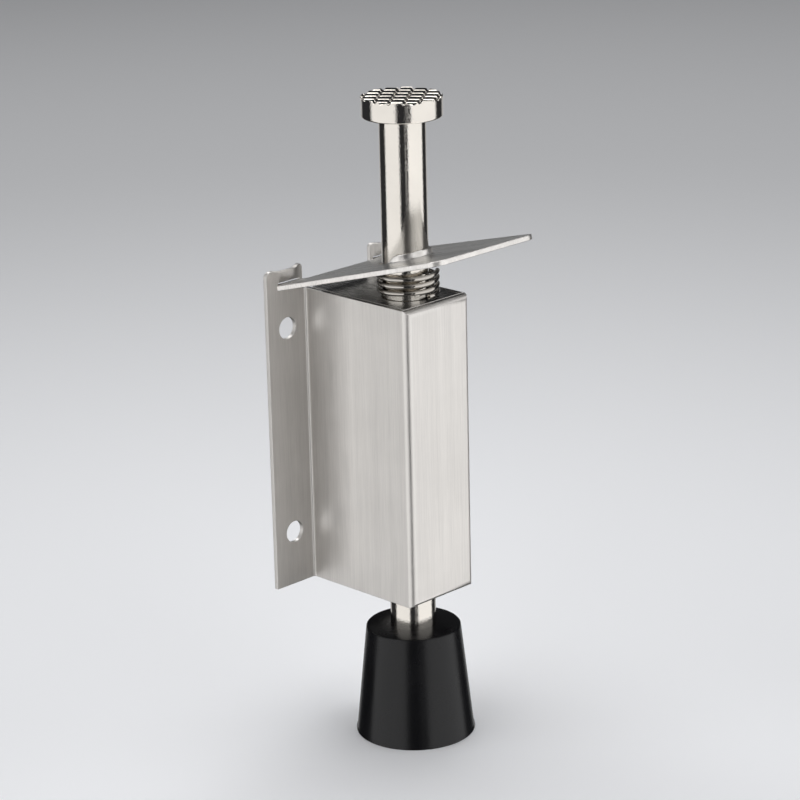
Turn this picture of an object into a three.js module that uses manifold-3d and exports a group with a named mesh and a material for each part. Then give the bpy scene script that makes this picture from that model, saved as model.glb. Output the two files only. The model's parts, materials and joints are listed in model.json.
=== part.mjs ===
// Floor door holder: a spring-loaded rubber foot that is stepped down and held by a tilting lever plate.
// Millimetres. X runs along the door's face, -Y away from the door, +Z up.
// The origin is on the door's face, midway between the four screw holes.
import * as THREE from "three";
import Module from "manifold-3d";
import { mergeVertices } from "three/addons/utils/BufferGeometryUtils.js";

const wasm = await Module();
wasm.setup();

// Driving dimensions. Heights are counted from the housing's bottom face.
const SHEET = 1.2; // housing sheet
const BEND = 1.9; // outer radius of its bends
const BOX_WIDTH = 23;
const BOX_DEPTH = 38;
const FLANGE = 13.5; // from the box's side to the flange's outer edge
const HOUSING_HEIGHT = 80;
const EAR_TOP = 86.8;
const EAR_INNER = 12.1; // where each ear is cut off, from the middle
const EAR_CORNER = 2;
const FOLD_GAP = 0.35; // slit between a folded-in flap and the side wall
const FLAP_BACK = 2; // the flaps stop this far from the door
const ORIGIN_HEIGHT = 42.5;

const SCREW_HOLE = 5.8;
const SCREW_ACROSS = 36.4;
const SCREW_HEIGHTS = [14.5, 70.5];

const ROD = 12; // diameter
const ROD_Y = -BOX_DEPTH + BOX_WIDTH / 2; // the rod is centred in the box
const ROD_HOLE = 12.7;
const ROD_BOTTOM = -24.7;
const ROD_TOP = 126.35;
const ROD_GROOVE_RADIUS = 5.2; // where the retaining ring sits
const TAP_RADIUS = 2.85; // of the screw's hole in the rod's lower end
const TAP_DEPTH = 13;

const HEAD = 20.8; // diameter
const HEAD_BOTTOM = 126.65;
const HEAD_TOP = 132;
const KNURL_PITCH = 3.8;
const KNURL_WIDTH = 1.1;
const KNURL_DEPTH = 0.6;
const KNURL_TURN = 37; // degrees, seen from above
const SPIGOT = 7;
const SPIGOT_LENGTH = 3;

const LEVER_THICK = 1.3;
const LEVER_TILT = 15.2; // degrees, front end up
const PIVOT_Y = -0.7;
const PIVOT_Z = 82;
const LEVER_BACK = 4.5; // distances along the plate, from the pivot
const LEVER_FRONT = 56.7;
const LEVER_BACK_HALF = 25;
const LEVER_FRONT_HALF = 18.1;
const LEVER_HOLE = 12.9; // width of its hole, which is a little longer than wide
const LEVER_HOLE_MIDDLE = 26.72;
const LEVER_HOLE_EXTRA = 0.95;
const LIP_WALL = 0.6; // of the half collar drawn up along the hole's front half
const LIP_HEIGHT = 1.6;
const LIP_RAMP = 3; // its ends slope down over this length
const TAB_INNER = 13.9;
const TAB_OUTER = 20.5;
const TAB_END = -0.3;
const SLOT_GAP = 0.5; // beside each tab
const SLOT_BOTTOM = 81;
const SLOT_TOP = 83.1;

const GAP = 0.3; // between pieces that rest on each other
const RING_THICK = 1;
const RING_INNER_RADIUS = 5.5;
const RING_OUTER_RADIUS = 8;
const RING_MOUTH = 35; // degrees, half of its opening
const WASHER_THICK = 1.2;
const WASHER_RADIUS = 9.3;
const RING_TOP = HOUSING_HEIGHT - SHEET - 0.4;
const WASHER_TOP = RING_TOP - RING_THICK - GAP;

const LEVER_SPRING_WIRE = 1.15;
const LEVER_SPRING_RADIUS = 7.6;
const LEVER_SPRING_TOP = 86.5; // of its wire's middle line
const LEVER_SPRING_SHIFT = 0.4; // it leans a little to one side of the rod
const RETURN_SPRING_WIRE = 1.4;
const RETURN_SPRING_RADIUS = 8.5;

const FOOT_TOP = -10.2;
const FOOT_BOTTOM = -40;
const FOOT_TOP_RADIUS = 12.55;
const FOOT_BOTTOM_RADIUS = 15.6;
const FOOT_RECESS_RADIUS = 8.2;
const FOOT_RECESS_TOP = -31;
const FOOT_WEB_TOP = ROD_BOTTOM - GAP;
const FOOT_LIP = 0.25; // how far the sole's lip stands out
const FOOT_HOLE_RADIUS = 2.9; // of the screw's hole through the foot and its washer
const FOOT_WASHER_RADIUS = 7.7;
const FOOT_WASHER_TOP = FOOT_RECESS_TOP - GAP;
const FOOT_SCREW_SHANK = 2.5; // radius
const FOOT_SCREW_HEAD = 4.8; // radius
const FOOT_SCREW_HEAD_THICK = 3.4;
const FOOT_SCREW_HEAD_TOP = FOOT_WASHER_TOP - WASHER_THICK - GAP;

const ROUND = 48; // sides of a turned piece

const steel = (color, roughness) => new THREE.MeshStandardMaterial({ color, roughness, metalness: 0.9 });
const housingSteel = steel(0xc8c5c0, 0.38);
const leverSteel = steel(0xb2b2b0, 0.34);
const nickel = steel(0xd9d2c8, 0.12);
const springSteel = steel(0x8c8985, 0.22);
const zinc = steel(0xb4b8bc, 0.3);
const rubber = new THREE.MeshStandardMaterial({ color: 0x1c1c1f, roughness: 0.55, metalness: 0 });

// A manifold solid from a three.js geometry, and back again.
function solid(geometry) {
  const bare = new THREE.BufferGeometry();
  bare.setAttribute("position", geometry.getAttribute("position"));
  bare.setIndex(geometry.getIndex());
  const merged = mergeVertices(bare, 1e-4);
  const mesh = new wasm.Mesh({
    numProp: 3,
    vertProperties: new Float32Array(merged.getAttribute("position").array),
    triVerts: new Uint32Array(merged.getIndex().array),
  });
  return new wasm.Manifold(mesh);
}

function geometryOf(shape) {
  const mesh = shape.getMesh();
  const geometry = new THREE.BufferGeometry();
  geometry.setAttribute("position", new THREE.BufferAttribute(mesh.vertProperties, 3));
  geometry.setIndex(new THREE.BufferAttribute(mesh.triVerts, 1));
  const flat = geometry.toNonIndexed();
  flat.computeVertexNormals();
  return flat;
}

// A box between two corners.
function block(x0, y0, z0, x1, y1, z1) {
  const geometry = new THREE.BoxGeometry(x1 - x0, y1 - y0, z1 - z0);
  return solid(geometry.translate((x0 + x1) / 2, (y0 + y1) / 2, (z0 + z1) / 2));
}

// A flat shape in X and Y, pulled up along Z.
function pulled(shape, low, high, curveSegments = 8) {
  const geometry = new THREE.ExtrudeGeometry(shape, { depth: high - low, bevelEnabled: false, curveSegments });
  return geometry.translate(0, 0, low);
}

// A turned piece about a vertical line, from [radius, height] points in order up its outside.
function turned(points, x = 0, y = 0) {
  const profile = points.map(([r, z]) => new THREE.Vector2(r, z));
  return new THREE.LatheGeometry(profile, ROUND).rotateX(Math.PI / 2).translate(x, y, 0);
}

function cylinder(radius, low, high, x, y) {
  return solid(turned([[0, low], [radius, low], [radius, high], [0, high]], x, y));
}

// Housing: the hat-shaped section of the sheet, one half drawn and the other mirrored.
function hatSection() {
  const half = BOX_WIDTH / 2;
  const edge = half + FLANGE;
  const front = -BOX_DEPTH;
  const inside = BEND - SHEET;
  const shape = new THREE.Shape();
  const quarter = Math.PI / 2;
  shape.moveTo(edge, 0);
  shape.lineTo(half - SHEET + BEND, 0);
  shape.absarc(half - SHEET + BEND, -BEND, BEND, quarter, 2 * quarter, false);
  shape.lineTo(half - SHEET, front + BEND);
  shape.absarc(half - BEND, front + BEND, inside, 0, -quarter, true);
  shape.lineTo(-half + BEND, front + SHEET);
  shape.absarc(-half + BEND, front + BEND, inside, -quarter, -2 * quarter, true);
  shape.lineTo(-half + SHEET, -BEND);
  shape.absarc(-half + SHEET - BEND, -BEND, BEND, 0, quarter, false);
  shape.lineTo(-edge, 0);
  shape.lineTo(-edge, -SHEET);
  shape.lineTo(-half - inside, -SHEET);
  shape.absarc(-half - inside, -BEND, inside, quarter, 0, true);
  shape.lineTo(-half, front + BEND);
  shape.absarc(-half + BEND, front + BEND, BEND, 2 * quarter, 3 * quarter, false);
  shape.lineTo(half - BEND, front);
  shape.absarc(half - BEND, front + BEND, BEND, -quarter, 0, false);
  shape.lineTo(half, -BEND);
  shape.absarc(half + inside, -BEND, inside, 2 * quarter, quarter, true);
  shape.lineTo(edge, -SHEET);
  shape.closePath();
  return shape;
}

// What is cut away to round a square edge along X, at the given corner.
function edgeCutter(y, z, up) {
  const shape = new THREE.Shape();
  shape.moveTo(0, 0);
  shape.lineTo(BEND, 0);
  shape.absarc(BEND, BEND, BEND, -Math.PI / 2, -Math.PI, true);
  shape.closePath();
  const geometry = pulled(shape, -BOX_WIDTH, BOX_WIDTH);
  // the shape's own X runs back from the front face and its Y runs into the housing
  const turn = new THREE.Matrix4().makeBasis(
    new THREE.Vector3(0, 1, 0),
    new THREE.Vector3(0, 0, up ? -1 : 1),
    new THREE.Vector3(up ? -1 : 1, 0, 0),
  );
  return solid(geometry.applyMatrix4(turn).translate(0, y, z));
}

// What is cut away to round an ear's upper outer corner.
function earCornerCutter(side) {
  const edge = side * (BOX_WIDTH / 2 + FLANGE);
  const low = EAR_TOP - EAR_CORNER;
  const corner = block(edge - EAR_CORNER, -5, low, edge + EAR_CORNER, 5, EAR_TOP + 1);
  const round = new THREE.CylinderGeometry(EAR_CORNER, EAR_CORNER, 20, 32);
  return corner.subtract(solid(round.translate(edge - side * EAR_CORNER, 0, low)));
}

function housing() {
  const inner = BOX_WIDTH / 2 - SHEET;
  const front = -BOX_DEPTH;
  let body = solid(pulled(hatSection(), 0, EAR_TOP, 4));
  body = body.subtract(block(-EAR_INNER, front - 1, HOUSING_HEIGHT, EAR_INNER, 1, EAR_TOP + 1));
  for (const low of [0, HOUSING_HEIGHT - SHEET]) {
    body = body.add(block(-inner - 0.1, front + SHEET / 2, low, inner + 0.1, -FLAP_BACK, low + SHEET));
    for (const side of [-1, 1]) {
      const x0 = side * (inner - FOLD_GAP / 2) - FOLD_GAP / 2;
      body = body.subtract(block(x0, front + BEND + 0.5, low - 1, x0 + FOLD_GAP, 0, low + SHEET + 0.5));
    }
  }
  body = body.subtract(edgeCutter(front, HOUSING_HEIGHT, true));
  body = body.subtract(edgeCutter(front, 0, false));
  body = body.subtract(cylinder(ROD_HOLE / 2, -1, HOUSING_HEIGHT + 1, 0, ROD_Y));
  for (const side of [-1, 1]) {
    for (const height of SCREW_HEIGHTS) {
      const drill = new THREE.CylinderGeometry(SCREW_HOLE / 2, SCREW_HOLE / 2, 10, 32);
      body = body.subtract(solid(drill.translate((side * SCREW_ACROSS) / 2, 0, height)));
    }
    const a = side * (TAB_INNER - SLOT_GAP);
    const b = side * (TAB_OUTER + SLOT_GAP);
    body = body.subtract(block(Math.min(a, b), -5, SLOT_BOTTOM, Math.max(a, b), 1, SLOT_TOP));
    body = body.subtract(earCornerCutter(side));
  }
  return geometryOf(body);
}

// The front half of a ring about the lever's hole, in the plate's own frame, with sloping ends.
function leverLip() {
  const middle = -LEVER_HOLE_MIDDLE - LEVER_HOLE_EXTRA / 2;
  const inner = LEVER_HOLE / 2;
  const outer = inner + LIP_WALL;
  const ring = new THREE.Shape();
  ring.absarc(0, middle, outer, Math.PI, 2 * Math.PI, false);
  ring.absarc(0, middle, inner, 2 * Math.PI, Math.PI, true);
  ring.closePath();
  const top = LEVER_THICK / 2 + LIP_HEIGHT;
  const ramp = new THREE.Shape();
  ramp.moveTo(middle - LIP_RAMP, top);
  ramp.lineTo(middle, LEVER_THICK / 2);
  ramp.lineTo(middle + 1, LEVER_THICK / 2);
  ramp.lineTo(middle + 1, top + 1);
  ramp.lineTo(middle - LIP_RAMP, top + 1);
  ramp.closePath();
  // drawn in Y and Z, and pulled along X
  const toX = new THREE.Matrix4().set(0, 0, 1, 0, 1, 0, 0, 0, 0, 1, 0, 0, 0, 0, 0, 1);
  const cutter = pulled(ramp, -LEVER_HOLE, LEVER_HOLE).applyMatrix4(toX);
  return solid(pulled(ring, 0, top, 24)).subtract(solid(cutter));
}

// Lever plate, drawn flat: X across, -Y forward from the pivot, its mid-plane at Z = 0.
function leverPlate() {
  const corner = 3.5;
  const lean = Math.atan2(LEVER_BACK_HALF - LEVER_FRONT_HALF, LEVER_FRONT - LEVER_BACK);
  const swing = Math.PI / 2 - lean;
  const middle = LEVER_FRONT_HALF - corner * Math.tan(Math.PI / 4 + lean / 2) + corner * Math.tan(lean);
  const shape = new THREE.Shape();
  shape.moveTo(TAB_OUTER, -TAB_END);
  shape.lineTo(TAB_INNER, -TAB_END);
  shape.lineTo(TAB_INNER, -LEVER_BACK);
  shape.lineTo(-TAB_INNER, -LEVER_BACK);
  shape.lineTo(-TAB_INNER, -TAB_END);
  shape.lineTo(-TAB_OUTER, -TAB_END);
  shape.lineTo(-TAB_OUTER, -LEVER_BACK);
  shape.lineTo(-LEVER_BACK_HALF, -LEVER_BACK);
  shape.absarc(-middle, -LEVER_FRONT + corner, corner, Math.PI + lean, Math.PI + lean + swing, false);
  shape.absarc(middle, -LEVER_FRONT + corner, corner, -Math.PI / 2, -lean, false);
  shape.lineTo(LEVER_BACK_HALF, -LEVER_BACK);
  shape.lineTo(TAB_OUTER, -LEVER_BACK);
  shape.closePath();
  const hole = new THREE.Path();
  const half = LEVER_HOLE_EXTRA / 2;
  hole.absarc(0, -LEVER_HOLE_MIDDLE + half, LEVER_HOLE / 2, 0, Math.PI, false);
  hole.absarc(0, -LEVER_HOLE_MIDDLE - half, LEVER_HOLE / 2, Math.PI, 2 * Math.PI, false);
  hole.closePath();
  shape.holes.push(hole);
  const plate = solid(pulled(shape, -LEVER_THICK / 2, LEVER_THICK / 2, 24));
  return geometryOf(plate.add(leverLip()));
}

// A compression spring's wire: an upward helix whose end turns lie close together.
class Coil extends THREE.Curve {
  constructor({ x, y, radius, low, high, turns, start, deadTurns, deadPitch }) {
    super();
    Object.assign(this, { x, y, radius, low, high, turns, start, deadTurns, deadPitch });
  }

  height(turn) {
    const dead = this.deadTurns;
    const rise = dead * this.deadPitch;
    const pitch = (this.high - this.low - 2 * rise) / (this.turns - 2 * dead);
    if (turn < dead) return this.low + turn * this.deadPitch;
    if (turn > this.turns - dead) return this.high - (this.turns - turn) * this.deadPitch;
    return this.low + rise + (turn - dead) * pitch;
  }

  getPoint(t, target = new THREE.Vector3()) {
    const turn = t * this.turns;
    const angle = THREE.MathUtils.degToRad(this.start) + turn * 2 * Math.PI;
    const x = this.x + this.radius * Math.cos(angle);
    const y = this.y + this.radius * Math.sin(angle);
    return target.set(x, y, this.height(turn));
  }
}

function spring(coil, wire, stepsPerTurn) {
  const section = new THREE.Shape();
  section.absarc(0, 0, wire / 2, 0, 2 * Math.PI, false);
  const steps = Math.round(coil.turns * stepsPerTurn);
  const options = { extrudePath: coil, steps, curveSegments: 4, bevelEnabled: false };
  return new THREE.ExtrudeGeometry(section, options);
}

function leverSpring() {
  const coil = new Coil({
    x: LEVER_SPRING_SHIFT,
    y: ROD_Y - LEVER_SPRING_SHIFT,
    radius: LEVER_SPRING_RADIUS,
    low: HOUSING_HEIGHT + GAP + LEVER_SPRING_WIRE / 2,
    high: LEVER_SPRING_TOP,
    turns: 3.13,
    start: -92,
    deadTurns: 0.3,
    deadPitch: 1.4,
  });
  return spring(coil, LEVER_SPRING_WIRE, 24);
}

function returnSpring() {
  const coil = new Coil({
    x: 0,
    y: ROD_Y,
    radius: RETURN_SPRING_RADIUS,
    low: SHEET + GAP + RETURN_SPRING_WIRE / 2,
    high: WASHER_TOP - WASHER_THICK - GAP - RETURN_SPRING_WIRE / 2,
    turns: 16,
    start: -90,
    deadTurns: 1.2,
    deadPitch: 1.65,
  });
  return spring(coil, RETURN_SPRING_WIRE, 18);
}

function plungerRod() {
  const r = ROD / 2;
  const spigot = SPIGOT / 2;
  return turned([
    [0, ROD_BOTTOM + TAP_DEPTH + 1],
    [TAP_RADIUS, ROD_BOTTOM + TAP_DEPTH],
    [TAP_RADIUS, ROD_BOTTOM],
    [r - 0.6, ROD_BOTTOM],
    [r, ROD_BOTTOM + 0.6],
    [r, RING_TOP - RING_THICK - GAP],
    [ROD_GROOVE_RADIUS, RING_TOP - RING_THICK - GAP],
    [ROD_GROOVE_RADIUS, RING_TOP + GAP],
    [r, RING_TOP + GAP],
    [r, ROD_TOP - 0.3],
    [r - 0.3, ROD_TOP],
    [spigot, ROD_TOP],
    [spigot, ROD_TOP + SPIGOT_LENGTH],
    [0, ROD_TOP + SPIGOT_LENGTH],
  ], 0, ROD_Y);
}

// A V-shaped groove across the head's top, at a distance from its middle.
function knurlGroove(offset) {
  const half = KNURL_WIDTH / 2;
  const shape = new THREE.Shape();
  shape.moveTo(offset - half - 0.1, 0.12);
  shape.lineTo(offset - half, 0);
  shape.lineTo(offset - 0.15, -KNURL_DEPTH);
  shape.lineTo(offset + 0.15, -KNURL_DEPTH);
  shape.lineTo(offset + half, 0);
  shape.lineTo(offset + half + 0.1, 0.12);
  shape.closePath();
  return pulled(shape, -HEAD, HEAD).rotateX(Math.PI / 2);
}

function plungerHead() {
  const r = HEAD / 2;
  const chamfer = 0.25;
  const socket = SPIGOT / 2 + GAP;
  let head = solid(turned([
    [0, HEAD_BOTTOM + SPIGOT_LENGTH + GAP],
    [socket, HEAD_BOTTOM + SPIGOT_LENGTH + GAP],
    [socket, HEAD_BOTTOM],
    [r - chamfer, HEAD_BOTTOM],
    [r, HEAD_BOTTOM + chamfer],
    [r, HEAD_TOP - chamfer],
    [r - chamfer, HEAD_TOP],
    [0, HEAD_TOP],
  ]));
  const grooves = [-2.5, -1.5, -0.5, 0.5, 1.5, 2.5];
  for (const quarterTurn of [0, 90]) {
    const angle = THREE.MathUtils.degToRad(KNURL_TURN + quarterTurn);
    for (const place of grooves) {
      const groove = knurlGroove(place * KNURL_PITCH).rotateZ(angle);
      head = head.subtract(solid(groove.translate(0, 0, HEAD_TOP)));
    }
  }
  return geometryOf(head).translate(0, ROD_Y, 0);
}

// A flat washer about the rod's line.
function washer(inner, outer, top) {
  const low = top - WASHER_THICK;
  return turned([[inner, top], [inner, low], [outer, low], [outer, top], [inner, top]], 0, ROD_Y);
}

// The open ring that snaps into the rod's groove.
function retainingRing() {
  const mouth = THREE.MathUtils.degToRad(RING_MOUTH);
  const start = -Math.PI / 2 + mouth;
  const end = 1.5 * Math.PI - mouth;
  const shape = new THREE.Shape();
  shape.absarc(0, 0, RING_OUTER_RADIUS, start, end, false);
  shape.absarc(0, 0, RING_INNER_RADIUS, end, start, true);
  shape.closePath();
  return pulled(shape, RING_TOP - RING_THICK, RING_TOP, 20).translate(0, ROD_Y, 0);
}

function rubberFoot() {
  const bore = ROD / 2 + GAP;
  return turned([
    [bore, FOOT_TOP],
    [bore, FOOT_WEB_TOP],
    [FOOT_HOLE_RADIUS, FOOT_WEB_TOP],
    [FOOT_HOLE_RADIUS, FOOT_RECESS_TOP],
    [FOOT_RECESS_RADIUS, FOOT_RECESS_TOP],
    [FOOT_RECESS_RADIUS, FOOT_BOTTOM],
    [FOOT_BOTTOM_RADIUS + FOOT_LIP, FOOT_BOTTOM],
    [FOOT_BOTTOM_RADIUS + FOOT_LIP, FOOT_BOTTOM + 0.7],
    [FOOT_BOTTOM_RADIUS, FOOT_BOTTOM + 1],
    [FOOT_TOP_RADIUS + 0.1, FOOT_TOP - 0.6],
    [FOOT_TOP_RADIUS - 0.4, FOOT_TOP],
    [bore, FOOT_TOP],
  ], 0, ROD_Y);
}

// Pan-head screw, head down, with a cross recess.
function footScrew() {
  const shank = FOOT_SCREW_SHANK;
  const head = FOOT_SCREW_HEAD;
  const low = FOOT_SCREW_HEAD_TOP - FOOT_SCREW_HEAD_THICK;
  let screw = solid(turned([
    [0, low],
    [head - 1.6, low],
    [head - 0.5, low + 0.5],
    [head, low + 1.6],
    [head, FOOT_SCREW_HEAD_TOP],
    [shank, FOOT_SCREW_HEAD_TOP],
    [shank, ROD_BOTTOM + TAP_DEPTH - 2],
    [0, ROD_BOTTOM + TAP_DEPTH - 1],
  ]));
  for (const [across, along] of [[0.5, 2.6], [2.6, 0.5]]) {
    screw = screw.subtract(block(-across, -along, low - 1, across, along, low + 1.8));
  }
  return geometryOf(screw).translate(0, ROD_Y, 0);
}

const holder = new THREE.Group();
holder.position.z = -ORIGIN_HEIGHT;

function place(name, geometry, material) {
  const mesh = new THREE.Mesh(geometry, material.clone());
  mesh.name = name;
  holder.add(mesh);
  return mesh;
}

place("housing", housing(), housingSteel);
const lever = place("lever_plate", leverPlate(), leverSteel);
lever.position.set(0, PIVOT_Y, PIVOT_Z);
lever.rotation.x = THREE.MathUtils.degToRad(-LEVER_TILT);
place("lever_spring", leverSpring(), springSteel);
place("plunger_rod", plungerRod(), nickel);
place("plunger_head", plungerHead(), nickel);
place("return_spring", returnSpring(), springSteel);
place("spring_washer", washer(ROD / 2 + GAP, WASHER_RADIUS, WASHER_TOP), zinc);
place("retaining_ring", retainingRing(), springSteel);
place("rubber_foot", rubberFoot(), rubber);
place("foot_washer", washer(FOOT_HOLE_RADIUS, FOOT_WASHER_RADIUS, FOOT_WASHER_TOP), zinc);
place("foot_screw", footScrew(), zinc);

export default holder;
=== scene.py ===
"""Floor door holder: the looks of its pieces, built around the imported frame.

Everything is in metres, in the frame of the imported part: X across the door's face, -Y away from it, Z up.
"""

import json
import math

import bmesh
import bpy
from bpy.props import FloatProperty, FloatVectorProperty, IntProperty, PointerProperty
from bpy.types import Operator, Panel, PropertyGroup
from mathutils import Matrix, Vector


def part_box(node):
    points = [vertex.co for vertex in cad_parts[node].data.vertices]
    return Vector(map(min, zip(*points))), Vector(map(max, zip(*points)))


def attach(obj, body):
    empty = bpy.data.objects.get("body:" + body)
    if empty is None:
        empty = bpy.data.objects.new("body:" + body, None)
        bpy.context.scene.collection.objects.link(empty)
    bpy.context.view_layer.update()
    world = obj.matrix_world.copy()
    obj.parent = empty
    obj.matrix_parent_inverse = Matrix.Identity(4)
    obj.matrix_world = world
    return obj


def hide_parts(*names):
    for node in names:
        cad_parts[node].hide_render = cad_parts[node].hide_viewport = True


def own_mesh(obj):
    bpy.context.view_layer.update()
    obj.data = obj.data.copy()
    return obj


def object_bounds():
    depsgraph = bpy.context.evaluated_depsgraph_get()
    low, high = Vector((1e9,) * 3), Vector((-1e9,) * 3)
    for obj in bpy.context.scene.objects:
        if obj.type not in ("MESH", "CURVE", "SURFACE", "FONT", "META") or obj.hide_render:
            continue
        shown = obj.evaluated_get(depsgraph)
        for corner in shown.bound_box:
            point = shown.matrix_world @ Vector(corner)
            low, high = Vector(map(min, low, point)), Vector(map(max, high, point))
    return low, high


bl_info = {
    "name": "Floor door holder",
    "version": (1, 0, 0),
    "blender": (4, 5, 0),
    "location": "3D View > Sidebar > Door Holder",
    "description": "Builds a door-mounted plunger stop: housing, lever plate, rod, springs and rubber foot",
    "category": "Object",
}

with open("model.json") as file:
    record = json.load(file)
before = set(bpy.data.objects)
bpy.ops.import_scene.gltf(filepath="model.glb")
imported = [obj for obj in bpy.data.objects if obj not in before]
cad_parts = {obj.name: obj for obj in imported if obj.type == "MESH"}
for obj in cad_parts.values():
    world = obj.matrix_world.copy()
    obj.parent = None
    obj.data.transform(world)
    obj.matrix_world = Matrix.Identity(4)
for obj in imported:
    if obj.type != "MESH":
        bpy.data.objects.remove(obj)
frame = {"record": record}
CAD_LOW, CAD_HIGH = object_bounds()
RECORD = frame["record"]
BODY_OF = {node: body for body, nodes in RECORD["behaviour"]["bodies"].items() for node in nodes}

MM = 0.001
HOUSING_LOW, HOUSING_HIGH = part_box("housing")
ROD_LOW, ROD_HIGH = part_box("plunger_rod")
HEAD_LOW, HEAD_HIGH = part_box("plunger_head")
FOOT_LOW, FOOT_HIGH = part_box("rubber_foot")
RING_LOW, RING_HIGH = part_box("retaining_ring")
ROD_AXIS = (ROD_LOW + ROD_HIGH) / 2
BOTTOM = HOUSING_LOW.z  # heights of the housing's features are counted from here
UP = Vector((0, 0, 1))

PAST = MM  # how far a cutting shape reaches past what it cuts
THROUGH = 5 * MM  # half the length of a cutting shape that goes right through the sheet
SAME_POINT = 1e-7  # points closer than this are merged
EDGE_ANGLE = math.radians(50)  # edges sharper than this are rounded

# Degrees: round the object from the door's outward direction, up from level, and about the line of sight.
CAMERA_TURN, CAMERA_RISE, CAMERA_ROLL = -45.04, 17.75, -1.37
CAMERA_DISTANCE = 0.7428
CAMERA_TARGET = Vector((0, -16 * MM, 2.5 * MM))
CAMERA_SHIFT_RIGHT, CAMERA_SHIFT_UP = 5.235 * MM, 4.31 * MM
LENS_MM, SENSOR_MM = 127.63, 36.0
STUDIO_DARK = (0.03, 0.03, 0.032)


def length(name, description, default):
    """A size that a user can change, in metres."""
    return FloatProperty(
        name=name, description=description, default=default, precision=5, unit="LENGTH", subtype="DISTANCE"
    )


def angle(name, description, degrees):
    """An angle that a user can change, given here in degrees."""
    return FloatProperty(name=name, description=description, default=math.radians(degrees), subtype="ANGLE")


def colour(name, description, default):
    return FloatVectorProperty(
        name=name, description=description, default=default, size=3, min=0, max=1, subtype="COLOR"
    )


def count(name, description, default, least):
    return IntProperty(name=name, description=description, default=default, min=least)


def turns(name, description, default):
    return FloatProperty(name=name, description=description, default=default, precision=3)


# Sizes and colours that a user would change.


class HousingSizes(PropertyGroup):
    sheet: length("Sheet", "Thickness of the folded sheet", 1.2 * MM)
    bend: length("Bend radius", "Outer radius of the sheet's bends", 1.9 * MM)
    width: length("Box width", "Width of the box between its side walls' outer faces", 23 * MM)
    height: length("Height", "Height of the box", 80 * MM)
    ear_inner: length("Ear end", "Distance of each ear's cut end from the middle", 12.4 * MM)
    ear_corner: length("Ear corner", "Radius of each ear's upper outer corner", 2 * MM)
    ear_tip: length("Ear tip", "Radius of each ear's upper inner corner", 1.2 * MM)
    ear_lean: angle("Ear lean", "How far the strip above each slot leans forward", 24)
    lean_inner: length("Inner lean", "Length that the lean grows over at the strip's inner end", 4.5 * MM)
    lean_outer: length("Outer lean", "Length that the lean grows over at the strip's outer end", 4 * MM)
    fold_gap: length("Fold gap", "Slit between a folded-in flap and the side wall", 0.35 * MM)
    flap_back: length("Flap end", "Distance of the flaps' ends from the door", 2 * MM)
    rod_hole: length("Rod hole", "Diameter of the holes for the rod", 12.7 * MM)
    screw_hole: length("Screw hole", "Diameter of the four screw holes", 5.8 * MM)
    screw_across: length("Screw spacing", "Spacing of the screw holes across the door", 36.4 * MM)
    screw_low: length("Lower screws", "Height of the lower screw holes", 14.5 * MM)
    screw_high: length("Upper screws", "Height of the upper screw holes", 70.5 * MM)
    slot_inner: length("Slot start", "Distance of each ear's slot from the middle", 13.4 * MM)
    slot_outer: length("Slot end", "Distance of each slot's far end from the middle", 21 * MM)
    slot_low: length("Slot bottom", "Height of the slots' lower edge", 81 * MM)
    slot_high: length("Slot top", "Height of the slots' upper edge", 83.1 * MM)
    edge: length("Edge rounding", "Rounding of the sheared edges", 0.12 * MM)


class LeverSizes(PropertyGroup):
    thickness: length("Thickness", "Thickness of the plate", 1.3 * MM)
    tilt: angle("Tilt", "How far the front end is up at rest", 15.2)
    pivot_y: length("Pivot depth", "The tabs' middle line, along Y", -0.7 * MM)
    pivot_height: length("Pivot height", "The tabs' middle line, above the housing's bottom", 82 * MM)
    back: length("Back edge", "From the pivot to the back edge, along the plate", 4.5 * MM)
    front: length("Front edge", "From the pivot to the front edge, along the plate", 56.7 * MM)
    back_half: length("Back half width", "Half the plate's width at its back edge", 25 * MM)
    front_half: length("Front half width", "Half the plate's width at its front edge", 18.1 * MM)
    corner: length("Corner", "Radius of the two front corners", 3.5 * MM)
    hole: length("Hole", "Width of the hole for the rod", 12.9 * MM)
    hole_middle: length("Hole place", "From the pivot to the hole's middle", 26.72 * MM)
    hole_extra: length("Hole length", "How much longer than wide the hole is", 0.95 * MM)
    lip: length("Collar height", "Height of the half collar in front of the rod", 1.6 * MM)
    lip_wall: length("Collar wall", "Wall of that half collar", 0.6 * MM)
    lip_fall: length("Collar fall", "How far the collar takes to fall away at each end", 3 * MM)
    tab_inner: length("Tab start", "Distance of each tab from the middle", 13.9 * MM)
    tab_outer: length("Tab end", "Distance of each tab's outer side from the middle", 20.5 * MM)
    tab_reach: length("Tab reach", "How far the tabs go past the pivot", 0.3 * MM)
    edge: length("Edge rounding", "Rounding of the sheared edges", 0.18 * MM)


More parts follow.
